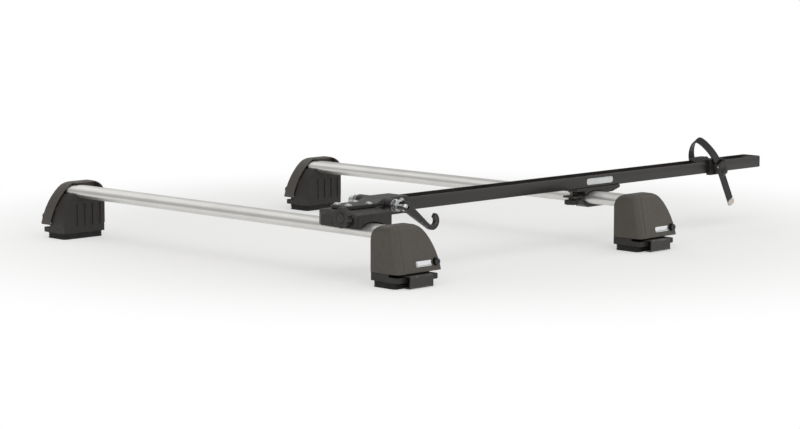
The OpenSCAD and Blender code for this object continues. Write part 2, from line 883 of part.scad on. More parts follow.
module bracket_bolt() {
    seat = rail_bottom - 5;
    color("#8d8f92") at_rear_clamp() {
        rod_z(seat - EPS, rail_bottom + rail_wall + nut_high, bracket_bolt_x, 0, bracket_bolt_r);
        rod_z(seat - 4, seat, bracket_bolt_x, 0, 6);
    }
}

// Quick-release axle

module at_axle() {
    at_carrier() translate([axle_x, 0, axle_z]) children();
}

// The lever's own frame: its arm along +X, its pin along Z.
module at_cam() {
    at_axle() rotate([0, lever_slope, 0]) translate([0, -cam_y, 0]) children();
}

// The rod has flats and an eye for the pin at its near end.
module skewer_rod() {
    far_end = fork_width / 2 + dropout_gap + 16;
    flat = eye_thick / 2;
    flat_end = cam_y - cup_in;
    color("#b4b6b8") difference() {
        union() {
            at_axle() rod_y(-cam_y, far_end, 0, 0, axle_r);
            at_cam() rod_z(-flat - EPS, flat + EPS, 0, 0, cam_pin_r + 2.4);
        }
        at_cam() {
            rod_z(-FAR, FAR, 0, 0, cam_pin_r + seat_fit);
            block([-FAR, -FAR, flat], [FAR, flat_end, FAR]);
            block([-FAR, -FAR, -FAR], [FAR, flat_end, -flat]);
        }
    }
}

module cam_cup() {
    cup_r = 11;
    color("#a3a5a7") at_axle() difference() {
        union() {
            rod_y(-cup_in - 3, -cup_in, 0, 0, cup_r);
            rod_y(-cup_out, -cup_in - 2, 0, 0, cup_r - 2);
        }
        rod_y(-FAR, 0, 0, 0, axle_r + turn_fit);
    }
}

module cam_pin() {
    half = eye_thick / 2 + cam_thick + move_gap;
    color("#d8d8d6") at_cam() rod_z(-half, half, 0, 0, cam_pin_r);
}

module cam_lever() {
    gap = eye_thick / 2 + move_gap;
    half = gap + cam_thick;
    arm_start = cam_pin_r + 4.2;
    arm_deep = 10;
    arm_low = -cam_throw - arm_deep / 2;
    ring_z = ring_r - 6;
    color("#1f1f1f") at_cam() difference() {
        union() {
            rod_z(-half, half, 0, cam_throw, cam_r);
            along_y(arm_low, arm_low + arm_deep) polygon([
                [0, -half], [0, half], [arm_start + 6, half - 1], [lever_length - 6, 2], [lever_length, -6]
            ]);
            difference() {
                rod_y(arm_low, arm_low + arm_deep, lever_length, ring_z, ring_r);
                rod_y(arm_low - EPS, arm_low + arm_deep + EPS, lever_length, ring_z, ring_r * 0.46);
                block([lever_length - ring_r - EPS, arm_low - EPS, ring_z - ring_r * 0.53],
                      [lever_length - 1, arm_low + arm_deep + EPS, ring_z + ring_r + EPS]);
            }
        }
        rod_z(-FAR, FAR, 0, 0, cam_pin_r + turn_fit);
        rod_z(-gap, gap, 0, 0, arm_start);
        block([-arm_start, 0, -gap], [arm_start, FAR, gap]);
        block([-FAR, -FAR, -gap], [axle_r + move_gap, FAR, gap]);
    }
}

module skewer_nut() {
    near = cup_in;
    color("#a3a5a7") at_axle() difference() {
        union() {
            rod_y(near, near + 4, 0, 0, 11);
            rod_y(near + 3, near + 13, 0, 0, 8.5);
        }
        rod_y(near - EPS, near + FAR, 0, 0, axle_r + turn_fit);
    }
}

// Wheel strap

module at_cradle() {
    at_carrier() translate([strap_x, 0, 0]) children();
}

// The strap's leaning frame: its width along X, its height along Z.
module at_strap() {
    at_cradle() translate([0, 0, strap_z]) rotate([0, -strap_lean, 0]) children();
}

module wheel_cradle() {
    inside = rail_width / 2 - rail_wall - move_gap;
    outside = rail_width / 2 + move_gap;
    flange = 5;
    ear_low = rail_bottom - 4;
    flange_low = rail_top + move_gap;
    ear_length = cradle_length - 16;
    rivet_s = -6;
    color("#262626") at_cradle() difference() {
        union() {
            block([-cradle_length / 2, -inside, floor_top + move_gap],
                  [cradle_length / 2, inside, flange_low + flange]);
            block([-ear_length / 2, -cradle_half, flange_low],
                  [ear_length / 2, cradle_half, flange_low + flange]);
            for (side = [0, 1]) mirror([0, side, 0]) {
                block([-ear_length / 2, outside, ear_low], [ear_length / 2, cradle_half, flange_low + 1]);
                block([-ear_length / 2, outside - 5, ear_low],
                      [ear_length / 2, cradle_half, rail_bottom - move_gap]);
            }
        }
        rod_x(-FAR, FAR, 0, flange_low + flange - 8 + tyre_seat_r, tyre_seat_r);
        translate([0, 0, strap_z]) rotate([0, -strap_lean, 0])
            rod_y(0, FAR, 0, rivet_s, 4 + seat_fit);
    }
}

// The strap's arch in Y and Z, at an offset from its middle line.
function arch_point(t, off) = [
    (strap_half + off) * cos(t) * (1 - strap_pinch * pow(sin(t), 2)), (strap_rise + off) * sin(t)
];

module wheel_strap() {
    t = strap_thick / 2;
    end_s = -14;
    rivet_s = -6;
    tail_s = buckle_low - tail_length;
    band = concat(
        [[strap_half + t, end_s]],
        [for (a = [0:7.5:180]) arch_point(a, t)],
        [[-strap_half - t, tail_s], [-strap_half + t, tail_s]],
        [for (a = [180:-7.5:0]) arch_point(a, -t)],
        [[strap_half - t, end_s]]
    );
    color("#1c1c1c") at_strap() difference() {
        along_x(-strap_width / 2, strap_width / 2) polygon(band);
        rod_y(0, FAR, 0, rivet_s, 4 + seat_fit);
    }
}

module strap_tip() {
    tail_s = buckle_low - tail_length;
    proud = 0.8;
    t = strap_thick / 2 + proud;
    half = strap_width / 2;
    color("#d9d2cb") at_strap() along_y(-strap_half - t, -strap_half + t)
        round_rect([-half, tail_s - 13], [half, tail_s], 5);
}

module strap_rivet() {
    rivet_s = -6;
    face = strap_half + strap_thick / 2;
    color("#9a9c9f") at_strap() {
        rod_y(rail_width / 2 + 1.2, face + EPS, 0, rivet_s, 4);
        rod_y(face, face + 2.4, 0, rivet_s, 7);
        rod_y(cradle_half, strap_half - strap_thick / 2, 0, rivet_s, -rivet_s);
    }
}

module buckle_body() {
    half = strap_width / 2 + 0.6;
    back = cradle_half;
    t = strap_thick / 2;
    plate = arch_point(asin(buckle_high / (strap_rise - t)), -t).x - 0.4;
    color("#202020") at_strap() difference() {
        union() {
            block([-half - cheek, -plate, buckle_low], [half + cheek, -back, buckle_high]);
            for (x = [-half - cheek, half]) {
                block([x, -pin_out - 4, buckle_low], [x + cheek, -back, buckle_high]);
            }
        }
        rod_x(-FAR, FAR, -pin_out, buckle_pin_s, buckle_pin_r + seat_fit);
    }
}

module buckle_pin() {
    half = strap_width / 2 + 0.6 + cheek;
    color("#b0b0ae") at_strap() rod_x(-half, half, -pin_out, buckle_pin_s, buckle_pin_r);
}

module buckle_lever() {
    half = strap_width / 2 + 0.6 - move_gap;
    near = strap_half + strap_thick / 2 + move_gap;
    r = buckle_pin_r + 2;
    color("#242424") at_strap() difference() {
        union() {
            rod_x(-half, half, -pin_out, buckle_pin_s, r);
            along_x(-half, half) polygon([
                [-pin_out + r, buckle_pin_s], [-pin_out - r, buckle_pin_s], [-pin_out - r, buckle_low - 4],
                [-pin_out - r + 3, buckle_low - 10], [-pin_out + 1, buckle_low - 8], [-near, buckle_low + 6]
            ]);
        }
        rod_x(-FAR, FAR, -pin_out, buckle_pin_s, buckle_pin_r + turn_fit);
    }
}

roof_bar(0);  // front_bar
roof_bar(1);  // rear_bar
slot_strip(0);  // front_strip
slot_strip(1);  // rear_strip
bar_bolts();
for (f = FEET) {
    foot_base(f);
    foot_pad(f);
    foot_hook(f);
    foot_clamp_bolt(f);
    foot_cover(f);
    foot_lock(f);
}
rail();
rail_end_cap();
fork_head();
dropout_faces();
head_bolts();
front_saddle();
front_liner();
front_jaw();
front_knob();
rear_bracket();
rear_liner();
rear_jaw();
rear_knob();
rail_nuts();
bracket_bolt();
skewer_rod();
cam_cup();
cam_pin();
cam_lever();
skewer_nut();
wheel_cradle();
wheel_strap();
strap_tip();
strap_rivet();
buckle_body();
buckle_pin();
buckle_lever();
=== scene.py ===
import json
import math

import bmesh
import bpy
from mathutils import Matrix, Vector
from mathutils.bvhtree import BVHTree


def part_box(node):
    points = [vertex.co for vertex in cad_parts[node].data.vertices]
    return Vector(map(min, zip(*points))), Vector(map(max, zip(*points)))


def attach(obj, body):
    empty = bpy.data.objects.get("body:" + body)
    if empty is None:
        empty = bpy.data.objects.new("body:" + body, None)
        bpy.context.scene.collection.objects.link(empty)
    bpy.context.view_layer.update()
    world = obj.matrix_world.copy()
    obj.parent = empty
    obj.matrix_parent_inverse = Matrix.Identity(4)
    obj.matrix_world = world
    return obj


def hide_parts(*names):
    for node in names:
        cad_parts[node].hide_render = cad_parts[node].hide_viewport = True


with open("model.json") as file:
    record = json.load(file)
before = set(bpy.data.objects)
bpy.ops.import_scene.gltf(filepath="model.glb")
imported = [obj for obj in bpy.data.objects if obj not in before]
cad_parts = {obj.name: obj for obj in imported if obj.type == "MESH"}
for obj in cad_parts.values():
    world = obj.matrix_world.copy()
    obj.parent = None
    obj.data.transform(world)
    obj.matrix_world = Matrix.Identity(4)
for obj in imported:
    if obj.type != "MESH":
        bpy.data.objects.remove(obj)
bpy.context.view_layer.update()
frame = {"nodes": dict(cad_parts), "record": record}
nodes = frame["nodes"]
record = frame["record"]
bodyOf = {node: body for body, members in record["behaviour"]["bodies"].items() for node in members}
slotOf = {part["node"]: part["material_slot"] for part in record["subparts"]}
mm = 0.001
scene = bpy.context.scene
feet = ["front_left", "front_right", "rear_left", "rear_right"]
print("frame loaded with", len(nodes), "nodes")


# camera: where the photograph was taken from, with a longer lens that fills the frame
view = {
    "place": (-3.8067, -3.6757, 0.7078), "turn": (82.77, -0.096, -45.155),  # metres and degrees
    "lens": 112.4, "sensor": 36, "farthest": 100,
}
camera = bpy.data.objects.new("camera", bpy.data.cameras.new("camera"))
camera.location = view["place"]
camera.rotation_euler = [math.radians(a) for a in view["turn"]]
camera.data.lens = view["lens"]
camera.data.sensor_width = view["sensor"]
camera.data.clip_end = view["farthest"]
scene.collection.objects.link(camera)
scene.camera = camera
scene.view_settings.view_transform = "Standard"
print("camera set")


def toLinear(hexColour):
    parts = [int(hexColour[i:i + 2], 16) / 255 for i in (1, 3, 5)]
    return [c / 12.92 if c <= 0.04045 else ((c + 0.055) / 1.055) ** 2.4 for c in parts] + [1]


def addNode(tree, kind, inputs=None, **settings):
    node = tree.nodes.new(kind)
    for name, value in settings.items():
        setattr(node, name, value)
    for name, value in (inputs or {}).items():
        if isinstance(value, bpy.types.NodeSocket):
            tree.links.new(value, node.inputs[name])
        else:
            node.inputs[name].default_value = value
    return node


def newFinish(name, **constants):
    finish = bpy.data.materials.new(name)
    finish.use_nodes = True
    shader = finish.node_tree.nodes["Principled BSDF"]
    for socket, value in constants.items():
        shader.inputs[socket.replace("_", " ")].default_value = value
    return finish, finish.node_tree, shader


def perMetre(sizeMm):
    return 1000 / sizeMm  # a pattern's scale from its size in millimetres


def linkSurface(tree, shader, colour, gloss, skin):
    tree.links.new(colour.outputs["Color"], shader.inputs["Base Color"])
    tree.links.new(gloss.outputs["Result"], shader.inputs["Roughness"])
    tree.links.new(skin.outputs["Normal"], shader.inputs["Normal"])


# the colour where edges are marked: worn edges, and on the rail a painted highlight along its top lips; a
# noise breaks the marks up, so that they are patchy
def rubbedEdgesAndHighlight(tree, base, pattern, span, most, paleTone):
    edge = addNode(tree, "ShaderNodeAttribute", attribute_name="edgeWearAndHighlight")
    patchy = addNode(tree, "ShaderNodeMapRange", {
        "Value": pattern, "From Min": span[0], "From Max": span[1], "To Max": most})
    paleShare = addNode(tree, "ShaderNodeMath", {
        0: edge.outputs["Fac"], 1: patchy.outputs["Result"]}, operation="MULTIPLY")
    return addNode(tree, "ShaderNodeMixRGB", {
        "Fac": paleShare.outputs["Value"], "Color1": base.outputs["Color"], "Color2": toLinear(paleTone)})


# grain, orange peel and tool lines are a few tenths of a millimetre on the real surfaces, too fine to show,
# so the finishes below draw them 1 to 5 mm wide
shineSpan = (0.3, 0.7)  # the part of a noise that is spread over a finish's roughness


# a moulded plastic: cloudy tone from the melt, a grained skin from the tool, rubbed paler along the edges
moulded = {"cloudMm": 45, "scuffMm": 9, "rubSpan": (0.38, 0.72), "paleShare": 1.0, "bump": 0.35}


def mouldedPlastic(name, tones, grainMm, grainDeep, rough, ior=1.5):
    tone, cloudTone, paleTone = tones
    finish, tree, shader = newFinish(name, IOR=ior)
    place = addNode(tree, "ShaderNodeTexCoord").outputs["Object"]
    cloud = addNode(tree, "ShaderNodeTexNoise", {
        "Vector": place, "Scale": perMetre(moulded["cloudMm"]), "Detail": 5.0})
    base = addNode(tree, "ShaderNodeMixRGB", {
        "Fac": cloud.outputs["Fac"], "Color1": toLinear(tone), "Color2": toLinear(cloudTone)})
    scuff = addNode(tree, "ShaderNodeTexNoise", {
        "Vector": place, "Scale": perMetre(moulded["scuffMm"]), "Detail": 4.0})
    edgePaling = rubbedEdgesAndHighlight(tree, base, scuff.outputs["Fac"], moulded["rubSpan"], moulded["paleShare"], paleTone)
    gloss = addNode(tree, "ShaderNodeMapRange", {
        "Value": scuff.outputs["Fac"], "From Min": shineSpan[0], "From Max": shineSpan[1],
        "To Min": rough[0], "To Max": rough[1]})
    grain = addNode(tree, "ShaderNodeTexVoronoi", {
        "Vector": place, "Scale": perMetre(grainMm)}, feature="SMOOTH_F1")
    skin = addNode(tree, "ShaderNodeBump", {
        "Height": grain.outputs["Distance"], "Strength": moulded["bump"], "Distance": grainDeep * mm})
    linkSurface(tree, shader, edgePaling, gloss, skin)
    return finish


# a coat on metal: a slight orange peel, thin dust in it, and a paler tone where edges are marked: the metal
# showing where they are rubbed, and on the rail a painted highlight along its top lips
coated = {
    "dustMm": 70, "dustSpan": (0.42, 0.75), "patchMm": 7, "patchSpan": (0.45, 0.7), "bump": 0.3, "ior": 1.52,
}


def coatedMetal(name, tones, peelMm, peelDeep, rough, paleShare):
    tone, dustTone, bareAndHighlightTone = tones
    finish, tree, shader = newFinish(name, IOR=coated["ior"])
    place = addNode(tree, "ShaderNodeTexCoord").outputs["Object"]
    dust = addNode(tree, "ShaderNodeTexNoise", {
        "Vector": place, "Scale": perMetre(coated["dustMm"]), "Detail": 6.0, "Roughness": 0.6})
    dusty = addNode(tree, "ShaderNodeMapRange", {
        "Value": dust.outputs["Fac"], "From Min": coated["dustSpan"][0], "From Max": coated["dustSpan"][1]})
    base = addNode(tree, "ShaderNodeMixRGB", {
        "Fac": dusty.outputs["Result"], "Color1": toLinear(tone), "Color2": toLinear(dustTone)})
    patches = addNode(tree, "ShaderNodeTexNoise", {
        "Vector": place, "Scale": perMetre(coated["patchMm"]), "Detail": 5.0})
    edgePaling = rubbedEdgesAndHighlight(tree, base, patches.outputs["Fac"], coated["patchSpan"], paleShare, bareAndHighlightTone)
    gloss = addNode(tree, "ShaderNodeMapRange", {
        "Value": dust.outputs["Fac"], "From Min": shineSpan[0], "From Max": shineSpan[1],
        "To Min": rough[0], "To Max": rough[1]})
    peel = addNode(tree, "ShaderNodeTexNoise", {
        "Vector": place, "Scale": perMetre(peelMm), "Detail": 2.0})
    skin = addNode(tree, "ShaderNodeBump", {
        "Height": peel.outputs["Fac"], "Strength": coated["bump"], "Distance": peelDeep * mm})
    linkSurface(tree, shader, edgePaling, gloss, skin)
    return finish


# a bare metal: lines left by the tool along one direction, faint stains, and a little unevenness in its shine
bare = {"stainMm": 60, "stainSpan": (0.4, 0.8), "bump": 0.25}


def bareMetal(name, tones, lineMm, stretch, lineDeep, rough):
    tone, stainTone = tones
    finish, tree, shader = newFinish(name, Metallic=1)
    place = addNode(tree, "ShaderNodeTexCoord").outputs["Object"]
    along = addNode(tree, "ShaderNodeMapping", {"Vector": place, "Scale": stretch})
    line = addNode(tree, "ShaderNodeTexNoise", {
        "Vector": along.outputs["Vector"], "Scale": perMetre(lineMm), "Detail": 3.0})
    stain = addNode(tree, "ShaderNodeTexNoise", {
        "Vector": place, "Scale": perMetre(bare["stainMm"]), "Detail": 5.0})
    stained = addNode(tree, "ShaderNodeMapRange", {
        "Value": stain.outputs["Fac"], "From Min": bare["stainSpan"][0], "From Max": bare["stainSpan"][1]})
    base = addNode(tree, "ShaderNodeMixRGB", {
        "Fac": stained.outputs["Result"], "Color1": toLinear(tone), "Color2": toLinear(stainTone)})
    gloss = addNode(tree, "ShaderNodeMapRange", {
        "Value": line.outputs["Fac"], "From Min": shineSpan[0], "From Max": shineSpan[1],
        "To Min": rough[0], "To Max": rough[1]})
    skin = addNode(tree, "ShaderNodeBump", {
        "Height": line.outputs["Fac"], "Strength": bare["bump"], "Distance": lineDeep * mm})
    linkSurface(tree, shader, base, gloss, skin)
    return finish


finishes = {
    # drawn through a die and etched before anodising: pale satin with faint lines along the bar
    "bar": bareMetal(
        "anodised aluminium, drawn", ("#e5e4e1", "#dbd9d5"),
        lineMm=2.5, stretch=(1, 0.02, 1), lineDeep=0.04, rough=(0.36, 0.48)),
    # glass-filled nylon from a grained tool: near black, half matt, greyed at the corners
    "black_plastic": mouldedPlastic(
        "glass-filled nylon, moulded", ("#1f1c1a", "#292522", "#4d4844"),
        grainMm=2.4, grainDeep=0.08, rough=(0.42, 0.58)),
    # ABS from a spark-eroded tool: warm dark grey with a soft sheen
    "grey_plastic": mouldedPlastic(
        "ABS, moulded with a spark-eroded grain", ("#494540", "#534e48", "#77726a"),
        grainMm=2.6, grainDeep=0.1, rough=(0.44, 0.6)),
    # extruded and powder coated: black with a slight orange peel, its top lips painted paler as a highlight
    "rail": coatedMetal(
        "powder-coated aluminium, extruded", ("#211e1c", "#2e2926", "#6f6b67"),
        peelMm=3.2, peelDeep=0.06, rough=(0.28, 0.42), paleShare=0.5),
    # cast in sand and coated: dull black, uneven, metal showing on the high edges
    "casting": coatedMetal(
        "cast aluminium, black coated", ("#1e1c1a", "#2a2725", "#8d8a86"),
        peelMm=4.5, peelDeep=0.16, rough=(0.36, 0.52), paleShare=0.7),
    # pressed plate dipped in primer: black, half matt, scraped to steel along its edges
    "jaw_steel": coatedMetal(
        "pressed steel, dip primed", ("#1e1e1e", "#2b2a29", "#77746f"),
        peelMm=5, peelDeep=0.08, rough=(0.34, 0.5), paleShare=0.7),
    # folded plate dipped in primer: a brownish black, less scraped
    "hook_steel": coatedMetal(
        "folded steel, dip primed", ("#2b2927", "#3a3733", "#6f6b65"),
        peelMm=5, peelDeep=0.1, rough=(0.36, 0.54), paleShare=0.45),
    # electroplated and passivated: bright grey with a faint warm bloom
    "zinc": bareMetal(
        "zinc-plated steel, passivated", ("#bfc1c2", "#b0aa9c"),
        lineMm=1.6, stretch=(1, 1, 1), lineDeep=0.04, rough=(0.24, 0.38)),
    # turned and nickel plated: bright, with rings left by the lathe
    "steel": bareMetal(
        "nickel-plated steel, turned", ("#c8c9c9", "#b4b3b0"),
        lineMm=1.2, stretch=(1, 6, 1), lineDeep=0.04, rough=(0.14, 0.28)),
    # die-cast zinc under black nickel: dark mirror with a smoky tone
    "lock": bareMetal(
        "die-cast zinc, black nickel plated", ("#4b4c4e", "#3d3d3f"),
        lineMm=1.5, stretch=(1, 1, 1), lineDeep=0.03, rough=(0.2, 0.34)),
    # cured rubber, talc left in its skin: dull black, greyed
    "rubber": mouldedPlastic(
        "EPDM rubber, cured", ("#171717", "#232221", "#2c2b2a"),
        grainMm=3, grainDeep=0.1, rough=(0.68, 0.85), ior=1.52),
    # rubber from an extruder: dull black, smoother than the cured pads
    "strip": mouldedPlastic(
        "EPDM rubber, extruded", ("#191919", "#242322", "#2b2a29"),
        grainMm=3, grainDeep=0.05, rough=(0.62, 0.8), ior=1.52),
    # soft polyurethane: black with a waxy shine
    "strap": mouldedPlastic(
        "polyurethane, moulded", ("#171615", "#201e1d", "#3a3735"),
        grainMm=2, grainDeep=0.05, rough=(0.36, 0.5)),
    # pale nylon dipped over the strap's end: handled and a little grey
    "tip": mouldedPlastic(
        "pale nylon, moulded", ("#d5ccc5", "#c4bab2", "#e4ddd7"),
        grainMm=2.4, grainDeep=0.05, rough=(0.4, 0.55), ior=1.53),
}
# foil brushed along its length: pale, with fine streaks
foilFinish = bareMetal(
    "aluminium foil, brushed", ("#d2d3d4", "#bfbfbf"),
    lineMm=1.8, stretch=(0.05, 1, 1), lineDeep=0.05, rough=(0.22, 0.36))
# chromed over a smooth moulding: a bright mirror
badgeFinish = bareMetal(
    "chromed ABS, moulded", ("#d9dadb", "#c9c9c9"),
    lineMm=3, stretch=(1, 1, 1), lineDeep=0.02, rough=(0.08, 0.16))
print("finishes made:", len(finishes) + 2)


def setPiece(name, mesh, body, finish, node=None):
    piece = bpy.data.objects.new(name, mesh)
    scene.collection.objects.link(piece)
    mesh.materials.clear()
    mesh.materials.append(finish)
    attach(piece, body)
    if node:
        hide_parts(node)
    return piece


def smoothFaces(mesh, angle=34):
    mesh.shade_smooth()
    mesh.set_sharp_from_angle(angle=math.radians(angle))


# a node's own shape with its edges rounded off, each rounded strip marked as worn
# bend, where given, says which edges take the wider radius of a fold
edges = {"mergeMm": 0.002, "flatAngle": 0.5, "sharpAngle": 40, "steps": 2, "normalWeight": 60}


def roundedCopy(node, radiusMm, steps=edges["steps"], bend=None, bendMm=0.0):
    mesh = nodes[node].data.copy()
    bm = bmesh.new()
    bm.from_mesh(mesh)
    bmesh.ops.remove_doubles(bm, verts=bm.verts, dist=edges["mergeMm"] * mm)
    flat = math.radians(edges["flatAngle"])
    bmesh.ops.dissolve_limit(bm, angle_limit=flat, verts=bm.verts, edges=bm.edges)
    widest = max(radiusMm, bendMm)
    weights = bm.edges.layers.float.new("bevel_weight_edge")
    for edge in bm.edges:
        if len(edge.link_faces) == 2 and edge.calc_face_angle() > math.radians(edges["sharpAngle"]):
            edge[weights] = (bendMm if bend and bend(edge) else radiusMm) / widest
    bm.to_mesh(mesh)
    bm.free()
    mesh.shade_smooth()
    mesh.materials.clear()
    finish = finishes[slotOf[node]]
    for _ in range(2):
        mesh.materials.append(finish)  # the second slot only marks the rounded strips
    raw = bpy.data.objects.new(node + ".raw", mesh)
    scene.collection.objects.link(raw)
    rounding = raw.modifiers.new("rounding", "BEVEL")
    rounding.width = widest * mm
    rounding.segments = steps
    rounding.limit_method = "WEIGHT"
    rounding.use_clamp_overlap = False
    rounding.material = 1
    flats = raw.modifiers.new("flats", "WEIGHTED_NORMAL")
    flats.weight = edges["normalWeight"]
    graph = bpy.context.evaluated_depsgraph_get()
    done = bpy.data.meshes.new_from_object(raw.evaluated_get(graph), depsgraph=graph)
    bpy.data.objects.remove(raw)
    strips = [float(face.material_index) for face in done.polygons]
    done.attributes.new("edgeWearAndHighlight", "FLOAT", "FACE").data.foreach_set("value", strips)
    done.polygons.foreach_set("material_index", [0] * len(done.polygons))
    return setPiece(node + ".piece", done, bodyOf[node], finish, node)


# a chunky moulding or casting: skinned over finely and relaxed, so that every edge gets a soft radius
# an edge that stands out is marked as worn, and press, where given, shapes the fine skin first
skinned = {"normalWeight": 70, "wornFrom": 0.1, "wornGain": 4}


def softCopy(node, skinMm, relax, keep, pullMm=0.0, press=None):
    raw = bpy.data.objects.new(node + ".raw", nodes[node].data.copy())
    scene.collection.objects.link(raw)
    skin = raw.modifiers.new("skin", "REMESH")
    skin.mode = "VOXEL"
    skin.voxel_size = skinMm * mm
    skin.use_smooth_shade = True
    ease = raw.modifiers.new("ease", "SMOOTH")
    ease.iterations = relax
    pull = raw.modifiers.new("pull", "DISPLACE")  # drawn in a little, to stay clear of what slides on it
    pull.mid_level = 0
    pull.strength = -pullMm * mm
    graph = bpy.context.evaluated_depsgraph_get()
    fine = bpy.data.meshes.new_from_object(raw.evaluated_get(graph), depsgraph=graph)
    if press:
        press(fine)
    raw.modifiers.clear()
    raw.data = fine
    fewer = raw.modifiers.new("fewer", "DECIMATE")
    fewer.ratio = keep
    flats = raw.modifiers.new("flats", "WEIGHTED_NORMAL")
    flats.weight = skinned["normalWeight"]
    graph = bpy.context.evaluated_depsgraph_get()
    done = bpy.data.meshes.new_from_object(raw.evaluated_get(graph), depsgraph=graph)
    bpy.data.objects.remove(raw)
    bm = bmesh.new()
    bm.from_mesh(done)
    edgePaling = []
    for vert in bm.verts:
        ways = [(edge.other_vert(vert).co - vert.co).normalized() for edge in vert.link_edges]
        fall = -sum(way.dot(vert.normal) for way in ways) / max(1, len(ways))
        edgePaling.append(min(1.0, max(0.0, (fall - skinned["wornFrom"]) * skinned["wornGain"])))
    bm.free()
    done.attributes.new("edgeWearAndHighlight", "FLOAT", "POINT").data.foreach_set("value", edgePaling)
    return setPiece(node + ".piece", done, bodyOf[node], finishes[slotOf[node]], node)


# rings of points joined by faces, with caps at both ends
def ringMesh(name, rings):
    bm = bmesh.new()
    made = [[bm.verts.new(point) for point in ring] for ring in rings]
    count = len(rings[0])
    for low, high in zip(made, made[1:]):
        for i in range(count):
            j = (i + 1) % count
            bm.faces.new((low[i], low[j], high[j], high[i]))
    bm.faces.new(made[0][::-1])
    bm.faces.new(made[-1])
    bmesh.ops.recalc_face_normals(bm, faces=bm.faces)
    mesh = bpy.data.meshes.new(name)
    bm.to_mesh(mesh)
    bm.free()
    return mesh


def joinMeshes(name, meshes):
    bm = bmesh.new()
    for mesh in meshes:
        bm.from_mesh(mesh)
        bpy.data.meshes.remove(mesh)
    joined = bpy.data.meshes.new(name)
    bm.to_mesh(joined)
    bm.free()
    return joined


# rings turned about an axis, from pairs of radius and height in millimetres
# shape, where given, scales the radius at each angle
def turnedRings(place, axis, profile, sides, shape=None):
    turn = Vector(axis).to_track_quat("Z", "Y").to_matrix()
    rings = []
    for radius, height in profile:
        ring = []
        for i in range(sides):
            a = 2 * math.pi * i / sides
            r = radius * (shape(a) if shape else 1)
            ring.append(Vector(place) + turn @ (Vector((r * math.cos(a), r * math.sin(a), height)) * mm))
        rings.append(ring)
    return rings


def roundedOutline(halfX, halfY, radius, steps=5):
    points = []
    for cx, cy, start in ((1, 1, 0), (-1, 1, 90), (-1, -1, 180), (1, -1, 270)):
        for i in range(steps + 1):
            a = math.radians(start + 90 * i / steps)
            x, y = cx * (halfX - radius), cy * (halfY - radius)
            points.append((x + radius * math.cos(a), y + radius * math.sin(a)))
    return points


def middle(node):
    low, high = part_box(node)
    return (low + high) / 2


# a left foot is a right one turned half round its bar
def footPlace(foot):
    barNode = foot.split("_")[0] + "_bar"
    return (1 if foot.endswith("right") else -1), barNode, middle(barNode).x


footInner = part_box("front_right_base")[0].y / mm  # inner face of a foot, from the middle of its bar

# bars and small pieces keep their shape and get rounded edges, with the radius in millimetres
rounding = {
    "front_bar": 0.4, "rear_bar": 0.4, "front_strip": 0.2, "rear_strip": 0.2, "rail_end_cap": 1.2,
    "dropout_faces": 0.4, "front_liner": 0.3, "front_jaw": 1.2, "front_knob": 1.2,
    "rear_bracket": 1.0, "rear_liner": 0.3, "rear_jaw": 0.8, "rear_knob": 1.0, "cam_cup": 0.5,
    "cam_lever": 1.1, "skewer_nut": 0.6, "skewer_rod": 0.3, "cam_pin": 0.4, "strap_tip": 0.6,
    "strap_rivet": 0.6, "buckle_body": 0.7, "buckle_pin": 0.4, "buckle_lever": 0.8, "bracket_bolt": 0.4,
    "rail_nuts": 0.4, "bar_bolts": 0.4,
}
footRounding = {"clamp_bolt": 0.5, "lock": 0.5}
hook = {"edge": 0.5, "steps": 4, "fold": 4.0, "foldArea": 500}  # only a fold joins two faces as large as this
# mouldings and castings: skin in mm, passes of relaxing, share of faces kept, and how far they are drawn in
soft = {
    "front_saddle": {"skinMm": 1.0, "relax": 7, "keep": 0.2, "pullMm": 0.3},
    "fork_head": {"skinMm": 0.8, "relax": 5, "keep": 0.2},
    "wheel_cradle": {"skinMm": 0.7, "relax": 4, "keep": 0.2},
}
softCover = {"skinMm": 0.7, "relax": 16, "keep": 0.25}
softBase = {"skinMm": 1.0, "relax": 5, "keep": 0.2}
# a soft line pressed down the outer face of each cover, beside the corner of its upright side
crease = {"fromBar": 30, "half": 1.9, "deep": 1.5, "facing": 0.5}


def isFold(edge):
    return edge.is_convex and all(face.calc_area() > hook["foldArea"] * mm * mm for face in edge.link_faces)


def pressCrease(foot):
    turn, barNode, barX = footPlace(foot)

    def press(mesh):
        moves = []
        for vert in mesh.vertices:
            off = (turn * (vert.co.x - barX) / mm - crease["fromBar"]) / crease["half"]
            share = math.exp(-off * off) if turn * vert.normal.y > crease["facing"] else 0
            moves.append(vert.co - vert.normal * share * crease["deep"] * mm)
        for vert, place in zip(mesh.vertices, moves):
            vert.co = place
        mesh.update()

    return press


made = {node: roundedCopy(node, radius) for node, radius in rounding.items()}
for node, how in soft.items():
    softCopy(node, **how)
for foot in feet:
    softCopy(foot + "_cover", **softCover, press=pressCrease(foot))
    softCopy(foot + "_base", **softBase)
    for piece, radius in footRounding.items():
        roundedCopy(foot + "_" + piece, radius)
    roundedCopy(foot + "_hook", hook["edge"], hook["steps"], isFold, hook["fold"])
print("rounded pieces set")


# knob screws: a rolled thread in place of each knob's plain shank
# the thread is sunk into the grip, and the old shank is cut off just clear of it
knobs = {
    "front_knob": {"axis": Vector((1, 0, 0)), "grip": 14},
    "rear_knob": {"axis": Vector((0, 0, 1)), "grip": 13.5},
}
thread = {
    "radius": 4, "pitch": 1.25, "deep": 0.7, "sides": 20, "rowsPerTurn": 4,
    "tipShare": 0.35, "tipRun": 2, "sunk": 1, "clear": 0.4,
}


